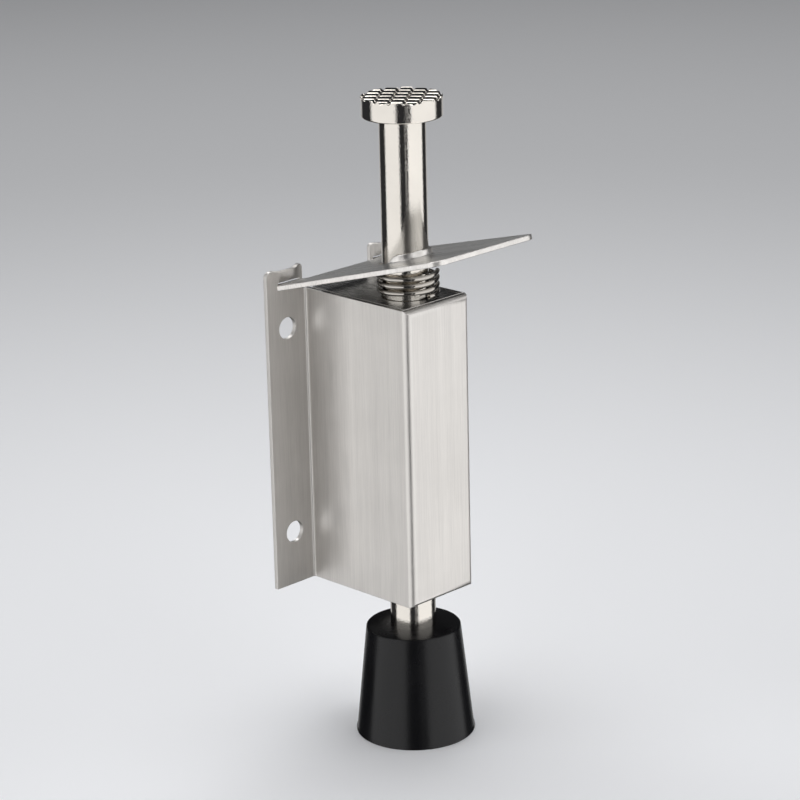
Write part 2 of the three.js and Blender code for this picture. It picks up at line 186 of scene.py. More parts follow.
class PlungerSizes(PropertyGroup):
    groove: length("Groove radius", "Radius of the rod in the ring's groove", 5.2 * MM)
    tap: length("Tap radius", "Radius of the tapped hole in the rod's lower end", 2.85 * MM)
    tap_depth: length("Tap depth", "Depth of that hole, without its pointed end", 13 * MM)
    chamfer: length("Chamfer", "Chamfer round the rod's lower end", 0.6 * MM)
    spigot: length("Spigot radius", "Radius of the spigot that holds the head", 3.5 * MM)
    socket: length("Socket radius", "Radius of the head's socket for the spigot", 3.8 * MM)
    socket_depth: length("Socket depth", "Depth of that socket", 3.3 * MM)
    gap: length("Gap", "Clearance between pieces that rest on each other", 0.3 * MM)
    rim: length("Head rim", "Rounding of the head's upper rim", 0.35 * MM)
    pitch: length("Knurl pitch", "Spacing of the grooves across the head", 3.8 * MM)
    groove_width: length("Knurl groove", "Width of those grooves", 1.25 * MM)
    depth: length("Knurl depth", "Depth of those grooves", 0.6 * MM)
    turn: angle("Knurl turn", "Direction of the grooves, seen from above", 37)
    steps: count("Steps", "Sides of the rod", 128, 24)
    head_steps: count("Head steps", "Sides of the head, fine enough for the knurl", 288, 96)
    head_rings: count("Head rings", "Rings of the head's top, fine enough for the knurl", 90, 24)


class SpringSizes(PropertyGroup):
    lever_wire: length("Lever spring wire", "Diameter of the lever spring's wire", 1.28 * MM)
    lever_radius: length("Lever spring radius", "Radius of the lever spring's turns", 7.55 * MM)
    lever_turns: turns("Lever spring turns", "Turns of the lever spring", 3.13)
    lever_start: angle("Lever spring start", "Where the lever spring's lower end lies", -92)
    lever_dead: turns("Lever spring end turns", "Close turns at each end of the lever spring", 0.3)
    lever_dead_pitch: length("Lever spring end pitch", "Rise of one of those turns", 1.4 * MM)
    lever_shift: length("Lever spring shift", "How far it sits off the rod's axis, each way", 0.4 * MM)
    return_wire: length("Return spring wire", "Diameter of the return spring's wire", 1.4 * MM)
    return_radius: length("Return spring radius", "Radius of the return spring's turns", 8.5 * MM)
    return_turns: turns("Return spring turns", "Turns of the return spring", 16)
    return_start: angle("Return spring start", "Where the return spring's lower end lies", -90)
    return_dead: turns("Return spring end turns", "Close turns at each end of the return spring", 1.2)
    return_dead_pitch: length("Return spring end pitch", "Rise of one of those turns", 1.65 * MM)
    sides: count("Wire sides", "Sides of the wire's section", 14, 6)
    steps: count("Steps per turn", "Sides of one turn", 60, 12)


class FootSizes(PropertyGroup):
    top_radius: length("Top radius", "Radius of the foot at its top", 12.55 * MM)
    bottom_radius: length("Bottom radius", "Radius of the foot above its lip", 15.6 * MM)
    lip: length("Lip", "Height of the moulding lip round the sole", 0.7 * MM)
    recess: length("Recess radius", "Radius of the recess in the sole", 8.2 * MM)
    recess_depth: length("Recess depth", "Depth of that recess", 9 * MM)
    rod_room: length("Rod room", "Clearance round the rod in the foot's hole", 0.04 * MM)
    web_hole: length("Web hole", "Radius of the screw's hole in the web above the recess", 2.9 * MM)
    web_gap: length("Web gap", "Clearance between the web and the rod's end", 0.3 * MM)
    steps: count("Steps", "Sides of the foot", 128, 24)


class FastenerSizes(PropertyGroup):
    spring_washer_hole: length("Spring washer hole", "Radius of the return spring washer's hole", 6.3 * MM)
    foot_washer_hole: length("Foot washer hole", "Radius of the foot washer's hole", 2.9 * MM)
    washer_edge: length("Washer edge", "Rounding of the washers' edges", 0.12 * MM)
    ring_inner: length("Ring inner radius", "Inner radius of the retaining ring", 5.5 * MM)
    ring_outer: length("Ring outer radius", "Outer radius of the retaining ring", 8 * MM)
    ring_mouth: angle("Ring mouth", "Half the angle of the ring's opening", 35)
    ring_edge: length("Ring edge", "Rounding of the ring's edges", 0.1 * MM)
    screw_shank: length("Screw shank", "Radius of the screw's thread", 2.5 * MM)
    screw_head: length("Screw head", "Height of the screw's head", 3.4 * MM)
    screw_round: length("Screw rounding", "Radius of the rounding round the screw's head", 1.6 * MM)
    thread_pitch: length("Thread pitch", "Rise of one turn of the thread", 0.8 * MM)
    thread_depth: length("Thread depth", "Depth of the thread", 0.35 * MM)
    cross_length: length("Cross length", "Half the length of the cross recess", 2.6 * MM)
    cross_width: length("Cross width", "Half the width of the cross recess", 0.5 * MM)
    cross_depth: length("Cross depth", "Depth of the cross recess", 1.8 * MM)
    steps: count("Steps", "Sides of a washer", 96, 24)
    ring_steps: count("Ring steps", "Sides of the ring's curve", 72, 24)
    screw_steps: count("Screw steps", "Sides of the screw", 64, 12)


class Finishes(PropertyGroup):
    housing: colour("Housing", "Colour of the housing's steel", (0.80, 0.775, 0.745))
    lever: colour("Lever", "Colour of the lever's steel", (0.58, 0.575, 0.565))
    nickel: colour("Nickel", "Colour of the rod's plating", (0.80, 0.76, 0.70))
    wire: colour("Wire", "Colour of the springs' wire", (0.55, 0.52, 0.48))
    zinc: colour("Zinc", "Colour of the washers and the screw", (0.60, 0.62, 0.64))
    rubber: colour("Rubber", "Colour of the foot", (0.0034, 0.0034, 0.0042))
    floor: colour("Floor", "Colour of the floor", (0.945, 0.955, 0.98))


# Shapes.


def ease(share):
    """Goes smoothly from 0 to 1 as a share does."""
    share = min(1, max(0, share))
    return share * share * (3 - 2 * share)


def arc(middle, radius, start, end, steps):
    """Points along a stretch of a circle, from one angle in degrees to another."""
    across, along = middle
    angles = [math.radians(start + (end - start) * i / steps) for i in range(steps + 1)]
    return [(across + radius * math.cos(a), along + radius * math.sin(a)) for a in angles]


def shape_object(name, bm):
    mesh = bpy.data.meshes.new(name)
    bm.to_mesh(mesh)
    bm.free()
    obj = bpy.data.objects.new(name, mesh)
    bpy.context.scene.collection.objects.link(obj)
    return obj


def block(low, high):
    """A box between two corners."""
    low, high = Vector(low), Vector(high)
    bm = bmesh.new()
    bmesh.ops.create_cube(bm, size=1)
    bmesh.ops.scale(bm, vec=high - low, verts=bm.verts)
    bmesh.ops.translate(bm, vec=(low + high) / 2, verts=bm.verts)
    return bm


def pin(radius, low, high, sides=64):
    """A cylinder from one point to another."""
    low, high = Vector(low), Vector(high)
    along = high - low
    bm = bmesh.new()
    bmesh.ops.create_cone(
        bm, cap_ends=True, segments=sides, radius1=radius, radius2=radius, depth=along.length
    )
    turn = UP.rotation_difference(along).to_matrix()
    bmesh.ops.rotate(bm, cent=(0, 0, 0), matrix=turn, verts=bm.verts)
    bmesh.ops.translate(bm, vec=(low + high) / 2, verts=bm.verts)
    return bm


def pull(bm, faces, move):
    """Pulls flat faces into a closed solid."""
    made = bmesh.ops.extrude_face_region(bm, geom=faces)
    moved = [v for v in made["geom"] if isinstance(v, bmesh.types.BMVert)]
    bmesh.ops.translate(bm, vec=move, verts=moved)
    bmesh.ops.recalc_face_normals(bm, faces=bm.faces)


def prism(points, move):
    """A closed outline, pulled into a solid."""
    bm = bmesh.new()
    face = bm.faces.new([bm.verts.new(p) for p in points])
    pull(bm, [face], move)
    return bm


def turned(points, centre, steps):
    """A turned piece about a vertical line, from (radius, height) points in order along its outline."""
    bm = bmesh.new()
    verts = [bm.verts.new((centre.x + r, centre.y, z)) for r, z in points]
    edges = [bm.edges.new(pair) for pair in zip(verts, verts[1:])]
    bmesh.ops.spin(
        bm, geom=verts + edges, cent=(centre.x, centre.y, 0), axis=UP, angle=2 * math.pi, steps=steps,
        use_merge=True,
    )
    bmesh.ops.remove_doubles(bm, verts=bm.verts, dist=SAME_POINT)
    bmesh.ops.recalc_face_normals(bm, faces=bm.faces)
    return bm


def settle(obj):
    """Applies an object's modifiers."""
    graph = bpy.context.evaluated_depsgraph_get()
    mesh = bpy.data.meshes.new_from_object(obj.evaluated_get(graph))
    obj.modifiers.clear()
    old, obj.data = obj.data, mesh
    bpy.data.meshes.remove(old)


def combine(target, bm, operation):
    tool = shape_object("tool", bm)
    change = target.modifiers.new("Combine", "BOOLEAN")
    change.operation = operation
    change.solver = "EXACT"
    change.object = tool
    settle(target)
    tool_mesh = tool.data
    bpy.data.objects.remove(tool)
    bpy.data.meshes.remove(tool_mesh)


def cut(target, bm):
    """Cuts a shape out of an object."""
    combine(target, bm, "DIFFERENCE")


def add(target, bm):
    """Joins a shape to an object."""
    combine(target, bm, "UNION")


def soften(obj, width, segments=2):
    """Rounds an object's sharp edges a little, and shades its flat faces flat."""
    bevel = obj.modifiers.new("Edges", "BEVEL")
    bevel.width = width
    bevel.segments = segments
    bevel.limit_method = "ANGLE"
    bevel.angle_limit = EDGE_ANGLE
    bevel.use_clamp_overlap = False
    shading = obj.modifiers.new("Shading", "WEIGHTED_NORMAL")
    shading.keep_sharp = True


def fit_out(obj, node, materials, sharp=35):
    """Gives a piece its finish and puts it on its body, in the place of its CAD node.

    Edges sharper than the angle in degrees are shaded as edges.
    """
    mesh = obj.data
    mesh.materials.clear()
    for material in materials:
        mesh.materials.append(material)
    mesh.shade_smooth()
    mesh.set_sharp_from_angle(angle=math.radians(sharp))
    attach(obj, BODY_OF[node])
    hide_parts(node)


def hat_section(sizes):
    """The sheet as a box with two side flanges, the ears' full height."""
    half = sizes.width / 2 - sizes.sheet / 2
    front = HOUSING_LOW.y + sizes.sheet / 2
    back = HOUSING_HIGH.y - sizes.sheet / 2
    corners = [
        (HOUSING_LOW.x, back), (-half, back), (-half, front),
        (half, front), (half, back), (HOUSING_HIGH.x, back),
    ]
    bm = bmesh.new()
    verts = [bm.verts.new((x, y, BOTTOM)) for x, y in corners]
    edges = [bm.edges.new(pair) for pair in zip(verts, verts[1:])]
    made = bmesh.ops.extrude_edge_only(bm, edges=edges)
    raised = [v for v in made["geom"] if isinstance(v, bmesh.types.BMVert)]
    bmesh.ops.translate(bm, vec=(0, 0, HOUSING_HIGH.z - BOTTOM), verts=raised)
    bends = [e for e in bm.edges if len(e.link_faces) == 2]
    bmesh.ops.bevel(
        bm, geom=bends, offset=sizes.bend - sizes.sheet / 2, offset_type="OFFSET", segments=12, profile=0.5,
        affect="EDGES", material=-1,
    )
    bmesh.ops.recalc_face_normals(bm, faces=bm.faces)
    obj = shape_object("Housing", bm)
    wall = obj.modifiers.new("Sheet", "SOLIDIFY")
    wall.thickness = sizes.sheet
    wall.offset = 0
    wall.use_even_offset = True
    settle(obj)
    return obj


def front_edge_tool(sizes, height, up):
    """What is cut away to round the front edge of a flap's fold."""
    r = sizes.bend
    y = HOUSING_LOW.y
    side = 1 if up else -1
    outline = [(y - PAST, height + side * PAST), (y + r, height + side * PAST)]
    steps = 12
    for i in range(steps + 1):
        a = math.radians(90 * i / steps)
        outline.append((y + r - r * math.sin(a), height - side * (r - r * math.cos(a))))
    outline.append((y - PAST, height - side * r))
    return prism([(-sizes.width, *point) for point in outline], (2 * sizes.width, 0, 0))


def lean_ears(obj, sizes):
    """Leans the strip above each slot forward, with both its ends left upright."""
    top = BOTTOM + sizes.height
    fold = BOTTOM + sizes.slot_high
    bm = bmesh.new()
    bm.from_mesh(obj.data)
    bmesh.ops.dissolve_limit(bm, angle_limit=math.radians(0.5), verts=bm.verts, edges=bm.edges)
    for height in (top, fold):
        everything = [*bm.verts, *bm.edges, *bm.faces]
        bmesh.ops.bisect_plane(
            bm, geom=everything, dist=SAME_POINT, plane_co=(0, 0, height), plane_no=UP
        )
    width = HOUSING_HIGH.x - sizes.ear_inner
    strips = 20
    for side in (-1, 1):
        for i in range(1, strips):
            ears = [f for f in bm.faces if f.calc_center_median().z > fold]
            rims = {e for f in ears for e in f.edges} | {v for f in ears for v in f.verts}
            place = (side * (sizes.ear_inner + width * i / strips), 0, 0)
            bmesh.ops.bisect_plane(
                bm, geom=[*rims, *ears], dist=SAME_POINT, plane_co=place, plane_no=(1, 0, 0)
            )
    for v in bm.verts:
        rise = v.co.z - fold
        if rise > 0:
            inner = ease((abs(v.co.x) - sizes.ear_inner) / sizes.lean_inner)
            outer = ease((HOUSING_HIGH.x - abs(v.co.x)) / sizes.lean_outer)
            turn = sizes.ear_lean * inner * outer
            v.co.y -= rise * math.sin(turn)
            v.co.z = fold + rise * math.cos(turn)
    bm.to_mesh(obj.data)
    bm.free()


def ear_corner_tool(edge, side, r):
    """What is cut away to round an ear's upper corner, the edge of which faces a side."""
    top = HOUSING_HIGH.z
    outline = [(edge + side * PAST, top - r), (edge + side * PAST, top + PAST), (edge - side * r, top + PAST)]
    outline += arc((edge - side * r, top - r), r, 90, 90 - side * 90, 12)
    return prism([(x, -THROUGH, z) for x, z in outline], (0, 2 * THROUGH, 0))


def build_housing(sizes, materials):
    obj = hat_section(sizes)
    inner = sizes.width / 2 - sizes.sheet
    top = BOTTOM + sizes.height
    front = HOUSING_LOW.y
    between_ears = block(
        (-sizes.ear_inner, front - PAST, top), (sizes.ear_inner, PAST, HOUSING_HIGH.z + PAST)
    )
    cut(obj, between_ears)
    slit_room = 0.5 * MM  # past the bend's end and past the flap's face
    for low in (BOTTOM, top - sizes.sheet):
        flap = block(
            (-inner - sizes.sheet / 2, front + sizes.sheet / 2, low),
            (inner + sizes.sheet / 2, -sizes.flap_back, low + sizes.sheet),
        )
        add(obj, flap)
        for side in (-1, 1):
            a, b = sorted((side * inner, side * (inner - sizes.fold_gap)))
            slit = block(
                (a, front + sizes.bend + slit_room, low - PAST), (b, 0, low + sizes.sheet + slit_room)
            )
            cut(obj, slit)
    cut(obj, front_edge_tool(sizes, top, True))
    cut(obj, front_edge_tool(sizes, BOTTOM, False))
    below, above = (0, ROD_AXIS.y, BOTTOM - PAST), (0, ROD_AXIS.y, top + PAST)
    cut(obj, pin(sizes.rod_hole / 2, below, above, sides=96))
    for side in (-1, 1):
        for height in (sizes.screw_low, sizes.screw_high):
            x, z = side * sizes.screw_across / 2, BOTTOM + height
            cut(obj, pin(sizes.screw_hole / 2, (x, -THROUGH, z), (x, THROUGH, z)))
        a, b = sorted((side * sizes.slot_inner, side * sizes.slot_outer))
        cut(obj, block((a, -THROUGH, BOTTOM + sizes.slot_low), (b, PAST, BOTTOM + sizes.slot_high)))
        cut(obj, ear_corner_tool(side * HOUSING_HIGH.x, side, sizes.ear_corner))
        cut(obj, ear_corner_tool(side * sizes.ear_inner, -side, sizes.ear_tip))
    lean_ears(obj, sizes)
    fit_out(obj, "housing", materials)
    # the flaps' level faces get a material that is painted darker, as shade
    brushed_walls, flap_painted_shade, cut_edge = range(3)
    for face in obj.data.polygons:
        level = abs(face.normal.z) > 0.9
        on_flap = abs(face.center.x) < inner - sizes.fold_gap
        face.material_index = (flap_painted_shade if on_flap else cut_edge) if level else brushed_walls
    soften(obj, sizes.edge)
    settle(obj)
    # rounding errors must not reach behind the door's plane
    for v in obj.data.vertices:
        v.co.y = min(v.co.y, HOUSING_HIGH.y)
    return obj


def lever_hole_tool(sizes):
    r = sizes.hole / 2
    half = sizes.hole_extra / 2
    outline = arc((0, -sizes.hole_middle + half), r, 0, 180, 40)
    outline += arc((0, -sizes.hole_middle - half), r, 180, 360, 40)
    return prism([(x, y, -THROUGH) for x, y in outline], (0, 0, 2 * THROUGH))


def lever_collar(sizes):
    """The half collar drawn up along the front of the hole, falling away at both ends."""
    middle = -sizes.hole_middle - sizes.hole_extra / 2
    base = sizes.thickness / 2
    top = base + sizes.lip
    # the hole is cut through it afterwards, so its inner side starts well inside the hole
    inner, outer = sizes.hole / 2 - PAST, sizes.hole / 2 + sizes.lip_wall
    rounding, foot = 0.15 * MM, 0.5 * MM
    outline = [
        (inner, 0), (inner, top), (outer - rounding, top), (outer, top - rounding), (outer, base + foot),
        (outer + rounding, base + rounding), (outer + foot, base), (outer + foot, 0),
    ]
    bm = bmesh.new()
    verts = [bm.verts.new((-r, middle, z)) for r, z in outline]
    face = bm.faces.new(verts)
    bmesh.ops.spin(
        bm, geom=[face, *face.edges, *verts], cent=(0, middle, 0), axis=UP, angle=math.pi, steps=64,
        use_merge=False,
    )
    bmesh.ops.remove_doubles(bm, verts=bm.verts, dist=SAME_POINT)
    least = 0.02  # the share of its height left at its two ends, which keeps its top off the plate's face
    for v in bm.verts:
        if v.co.z > base:
            share = least + (1 - least) * ease((middle - v.co.y) / sizes.lip_fall)
            v.co.z = base + (v.co.z - base) * share
    bmesh.ops.recalc_face_normals(bm, faces=bm.faces)
    return bm


def build_lever(sizes, materials):
    base = -sizes.thickness / 2
    reach, back, front = sizes.tab_reach, -sizes.back, -sizes.front
    outline = [
        (sizes.tab_outer, reach), (sizes.tab_inner, reach), (sizes.tab_inner, back),
        (-sizes.tab_inner, back), (-sizes.tab_inner, reach), (-sizes.tab_outer, reach),
        (-sizes.tab_outer, back), (-sizes.back_half, back), (-sizes.front_half, front),
        (sizes.front_half, front), (sizes.back_half, back), (sizes.tab_outer, back),
    ]
    bm = bmesh.new()
    verts = [bm.verts.new((x, y, base)) for x, y in outline]
    bm.faces.new(verts)
    front_corners = verts[8:10]
    bmesh.ops.bevel(
        bm, geom=front_corners, offset=sizes.corner, offset_type="OFFSET", segments=14, profile=0.5,
        affect="VERTICES", material=-1,
    )
    pull(bm, list(bm.faces), (0, 0, sizes.thickness))
    obj = shape_object("Lever_plate", bm)
    add(obj, lever_collar(sizes))
    cut(obj, lever_hole_tool(sizes))
    fit_out(obj, "lever_plate", materials)
    plate_steel, cut_edge = range(2)
    for face in obj.data.polygons:
        upright = abs(face.normal.z) < 0.5
        face.material_index = cut_edge if upright else plate_steel
    pivot = Vector((0, sizes.pivot_y, BOTTOM + sizes.pivot_height))
    obj.data.transform(Matrix.Translation(pivot) @ Matrix.Rotation(-sizes.tilt, 4, "X"))
    soften(obj, sizes.edge, 3)
    return obj


def build_rod(sizes, material):
    r = (ROD_HIGH.x - ROD_LOW.x) / 2
    low, high = ROD_LOW.z, ROD_HIGH.z
    top = HEAD_LOW.z - sizes.gap
    point, shoulder = MM, 0.3 * MM  # the tapped hole's pointed end, and the chamfer below the head
    outline = [
        (0, low + sizes.tap_depth + point), (sizes.tap, low + sizes.tap_depth), (sizes.tap, low),
        (r - sizes.chamfer, low), (r, low + sizes.chamfer),
        (r, RING_LOW.z - sizes.gap), (sizes.groove, RING_LOW.z - sizes.gap),
        (sizes.groove, RING_HIGH.z + sizes.gap), (r, RING_HIGH.z + sizes.gap),
        (r, top - shoulder), (r - shoulder, top), (sizes.spigot, top), (sizes.spigot, high), (0, high),
    ]
    obj = shape_object("Plunger_rod", turned(outline, ROD_AXIS, sizes.steps))
    fit_out(obj, "plunger_rod", [material])
    return obj


def knurl_drop(place, sizes):
    """How far the head's top is cut down at a place, from 0 on a pad to 1 along a groove."""
    along = Matrix.Rotation(-sizes.turn, 2) @ place
    drop = 0
    for offset in along:
        # grooves lie half a pitch off the middle, and every pitch from there
        from_groove = abs((offset / sizes.pitch) % 1 - 0.5) * sizes.pitch
        drop = max(drop, 1 - ease(from_groove / (sizes.groove_width / 2)))
    return drop


def build_head(sizes, material):
    r = (HEAD_HIGH.x - HEAD_LOW.x) / 2
    low, top = HEAD_LOW.z, HEAD_HIGH.z
    ceiling = low + sizes.socket_depth
    soft = sizes.rim
    chamfer = 0.25 * MM
    outline = [
        (0, ceiling), (sizes.socket, ceiling), (sizes.socket, low), (r - chamfer, low), (r, low + chamfer),
    ]
    outline += [(r, low + (top - soft - low) * i / 10) for i in range(1, 10)]
    outline += arc((r - soft, top - soft), soft, 0, 90, 6)
    outline += [((r - soft) * (1 - i / sizes.head_rings), top) for i in range(1, sizes.head_rings + 1)]
    bm = turned(outline, ROD_AXIS, sizes.head_steps)
    base = top - 2 * sizes.depth
    for v in bm.verts:
        if v.co.z > base:
            drop = knurl_drop((v.co - ROD_AXIS).to_2d(), sizes)
            v.co.z = base + (v.co.z - base) * (1 - drop / 2)
    obj = shape_object("Plunger_head", bm)
    fit_out(obj, "plunger_head", [material], sharp=50)
    return obj


def coil(which, low, high, centre, sizes):
    """One spring's wire between two heights. The turns at its ends lie close together."""
    names = ("wire", "radius", "turns", "start", "dead", "dead_pitch")
    wire, radius, all_turns, start, dead, dead_pitch = (getattr(sizes, f"{which}_{name}") for name in names)
    low, high = low + wire / 2, high - wire / 2
    bm = bmesh.new()
    bmesh.ops.create_circle(bm, cap_ends=False, segments=sizes.sides, radius=wire / 2)
    upright = Matrix.Rotation(math.radians(90), 3, "X")
    bmesh.ops.rotate(bm, cent=(0, 0, 0), matrix=upright, verts=bm.verts)
    bmesh.ops.translate(bm, vec=(radius, 0, 0), verts=bm.verts)
    bmesh.ops.rotate(bm, cent=(0, 0, 0), matrix=Matrix.Rotation(start, 3, "Z"), verts=bm.verts)
    bmesh.ops.translate(bm, vec=(centre.x, centre.y, low), verts=bm.verts)
    live = all_turns - 2 * dead
    pitch = (high - low - 2 * dead * dead_pitch) / live
    ring = list(bm.verts) + list(bm.edges)
    for part, rise in ((dead, dead_pitch), (live, pitch), (dead, dead_pitch)):
        steps = max(2, round(part * sizes.steps))
        made = bmesh.ops.spin(
            bm, geom=ring, cent=(centre.x, centre.y, 0), axis=UP, dvec=(0, 0, rise * part / steps),
            angle=2 * math.pi * part, steps=steps, use_merge=False,
        )
        ring = made["geom_last"]
    ends = [e for e in bm.edges if len(e.link_faces) == 1]
    bmesh.ops.holes_fill(bm, edges=ends, sides=0)
    bmesh.ops.recalc_face_normals(bm, faces=bm.faces)
    return bm


def build_springs(sizes, material):
    low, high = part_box("lever_spring")
    centre = ROD_AXIS + Vector((sizes.lever_shift, -sizes.lever_shift, 0))
    lever_spring = shape_object("Lever_spring", coil("lever", low.z, high.z, centre, sizes))
    fit_out(lever_spring, "lever_spring", [material], sharp=60)
    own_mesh(lever_spring)
    low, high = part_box("return_spring")
    return_spring = shape_object("Return_spring", coil("return", low.z, high.z, ROD_AXIS, sizes))
    fit_out(return_spring, "return_spring", [material], sharp=60)
    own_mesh(return_spring)
    return lever_spring, return_spring


def build_foot(sizes, material):
    top, low = FOOT_HIGH.z, FOOT_LOW.z
    bore = (ROD_HIGH.x - ROD_LOW.x) / 2 + sizes.rod_room
    web_top = ROD_LOW.z - sizes.web_gap
    recess_top = low + sizes.recess_depth
    wide = FOOT_HIGH.x
    lip_top = low + sizes.lip
    chamfer, mouth, sole_edge, lip_edge, taper = 0.3 * MM, 0.2 * MM, 0.15 * MM, 0.08 * MM, 0.3 * MM
    # the rounding of the upper edge, in millimetres outside the top radius and below the top
    upper_edge = ((0.05, 0.75), (-0.05, 0.3), (-0.25, 0.08), (-0.5, 0))
    outline = [
        (bore, top), (bore, web_top), (sizes.web_hole, web_top), (sizes.web_hole, recess_top),
        (sizes.recess - chamfer, recess_top), (sizes.recess, recess_top - chamfer),
        (sizes.recess, low + mouth), (sizes.recess + mouth, low), (wide - sole_edge, low),
        (wide, low + sole_edge), (wide, lip_top - 0.1 * MM), (wide - lip_edge, lip_top),
        (sizes.bottom_radius, lip_top + taper),
    ]
    outline += [(sizes.top_radius + out * MM, top - below * MM) for out, below in upper_edge]
    outline.append((bore, top))
    obj = shape_object("Rubber_foot", turned(outline, ROD_AXIS, sizes.steps))
    fit_out(obj, "rubber_foot", [material], sharp=45)
    return obj


def build_washer(node, name, inner, sizes, material):
    low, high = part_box(node)
    outer = (high.x - low.x) / 2
    outline = [(inner, high.z), (inner, low.z), (outer, low.z), (outer, high.z), (inner, high.z)]
    obj = shape_object(name, turned(outline, ROD_AXIS, sizes.steps))
    fit_out(obj, node, [material])
    soften(obj, sizes.washer_edge)
    return obj


def build_ring(sizes, material):
    """The open ring that snaps into the rod's groove."""
    inner, outer, mouth = sizes.ring_inner, sizes.ring_outer, sizes.ring_mouth
    low, high = RING_LOW.z, RING_HIGH.z
    bm = bmesh.new()
    outline = [(inner, low), (outer, low), (outer, high), (inner, high)]
    face = bm.faces.new([bm.verts.new((ROD_AXIS.x + r, ROD_AXIS.y, z)) for r, z in outline])
    start = Matrix.Rotation(-math.pi / 2 + mouth, 3, "Z")
    bmesh.ops.rotate(bm, cent=ROD_AXIS, matrix=start, verts=bm.verts)
    bmesh.ops.spin(
        bm, geom=[face, *face.edges, *face.verts], cent=ROD_AXIS, axis=UP, angle=2 * (math.pi - mouth),
        steps=sizes.ring_steps, use_merge=False,
    )
    bmesh.ops.remove_doubles(bm, verts=bm.verts, dist=SAME_POINT)
    bmesh.ops.recalc_face_normals(bm, faces=bm.faces)
    obj = shape_object("Retaining_ring", bm)
    fit_out(obj, "retaining_ring", [material])
    soften(obj, sizes.ring_edge)
    return obj


def build_screw(sizes, material):
    """Pan-head screw, head down, with a cross recess."""
    low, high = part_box("foot_screw")
    head, shank, soft = (high.x - low.x) / 2, sizes.screw_shank, sizes.screw_round
    head_top = low.z + sizes.screw_head
    plain, point, point_chamfer = MM, MM, 0.3 * MM  # the shank's two ends, without thread
    outline = [(0, low.z)] + arc((head - soft, low.z + soft), soft, -90, 0, 6)
    outline += [(head, head_top), (shank, head_top)]
    grooves = round((high.z - head_top - plain - point) / sizes.thread_pitch)
    for i in range(grooves):
        z = head_top + plain + i * sizes.thread_pitch
        outline += [(shank, z), (shank - sizes.thread_depth, z + sizes.thread_pitch / 2)]
    outline += [(shank - point_chamfer, high.z - point), (0, high.z)]
    obj = shape_object("Foot_screw", turned(outline, ROD_AXIS, sizes.screw_steps))
    arms = (sizes.cross_width, sizes.cross_length)
    for across, along in (arms, reversed(arms)):
        cross = block(
            (ROD_AXIS.x - across, ROD_AXIS.y - along, low.z - PAST),
            (ROD_AXIS.x + across, ROD_AXIS.y + along, low.z + sizes.cross_depth),
        )
        cut(obj, cross)
    fit_out(obj, "foot_screw", [material])
    return obj


# Effects that more than one finish uses.


def node_group(name, inputs, outputs):
    tree = bpy.data.node_groups.new(name, "ShaderNodeTree")
    for label, kind, default in inputs:
        socket = tree.interface.new_socket(name=label, in_out="INPUT", socket_type=kind)
        socket.default_value = default
    for label in outputs:
        tree.interface.new_socket(name=label, in_out="OUTPUT", socket_type="NodeSocketFloat")
    source = tree.nodes.new("NodeGroupInput")
    result = tree.nodes.new("NodeGroupOutput")
    return tree, source, result


def noise(tree, vector, scale, detail, roughness=0.6):
    texture = tree.nodes.new("ShaderNodeTexNoise")
    texture.inputs["Scale"].default_value = scale
    texture.inputs["Detail"].default_value = detail
    texture.inputs["Roughness"].default_value = roughness
    tree.links.new(vector, texture.inputs["Vector"])
    return texture.outputs["Fac"]


def spread(tree, value, from_low, from_high, to_low=0.0, to_high=1.0):
    """Maps one range of a value onto another."""
    node = tree.nodes.new("ShaderNodeMapRange")
    labels = ("From Min", "From Max", "To Min", "To Max")
    for label, number in zip(labels, (from_low, from_high, to_low, to_high)):
        node.inputs[label].default_value = number
    tree.links.new(value, node.inputs["Value"])
    return node.outputs["Result"]


def arithmetic(tree, operation, a, b):
    node = tree.nodes.new("ShaderNodeMath")
    node.operation = operation
    for socket, value in zip(node.inputs, (a, b)):
        if isinstance(value, (int, float)):
            socket.default_value = value
        else:
            tree.links.new(value, socket)
    return node.outputs["Value"]


def grain_group():
    """Brushed lines, drawn out along one direction."""
    tree, source, result = node_group(
        "Brushed grain",
        [("Vector", "NodeSocketVector", (0, 0, 0)), ("Stretch", "NodeSocketVector", (1, 1, 1))],
        ["Streaks", "Bands"],
    )
    scaled = tree.nodes.new("ShaderNodeVectorMath")
    scaled.operation = "MULTIPLY"
    tree.links.new(source.outputs["Vector"], scaled.inputs[0])
    tree.links.new(source.outputs["Stretch"], scaled.inputs[1])
    fine = noise(tree, scaled.outputs["Vector"], 1.0, 5)
    broad = noise(tree, scaled.outputs["Vector"], 0.12, 2)
    tree.links.new(spread(tree, fine, 0.33, 0.67), result.inputs["Streaks"])
    tree.links.new(spread(tree, broad, 0.35, 0.65), result.inputs["Bands"])
    return tree


def ripple_group():
    """The slight unevenness of a plated or moulded surface, with fine specks."""
    tree, source, result = node_group(
        "Ripple",
        [("Vector", "NodeSocketVector", (0, 0, 0)), ("Scale", "NodeSocketFloat", 1000.0)],
        ["Height", "Specks"],
    )
    texture = tree.nodes.new("ShaderNodeTexNoise")
    texture.inputs["Detail"].default_value = 2.0
    tree.links.new(source.outputs["Vector"], texture.inputs["Vector"])
    tree.links.new(source.outputs["Scale"], texture.inputs["Scale"])
    tree.links.new(texture.outputs["Fac"], result.inputs["Height"])
    specks = noise(tree, source.outputs["Vector"], 2600.0, 3)
    tree.links.new(spread(tree, specks, 0.60, 0.74), result.inputs["Specks"])
    return tree


def handling_group():
    """Soft patches left by handling and cleaning."""
    tree, source, result = node_group(
        "Handling marks", [("Vector", "NodeSocketVector", (0, 0, 0))], ["Patches"]
    )
    soft = noise(tree, source.outputs["Vector"], 60.0, 3)
    tree.links.new(spread(tree, soft, 0.35, 0.70), result.inputs["Patches"])
    return tree


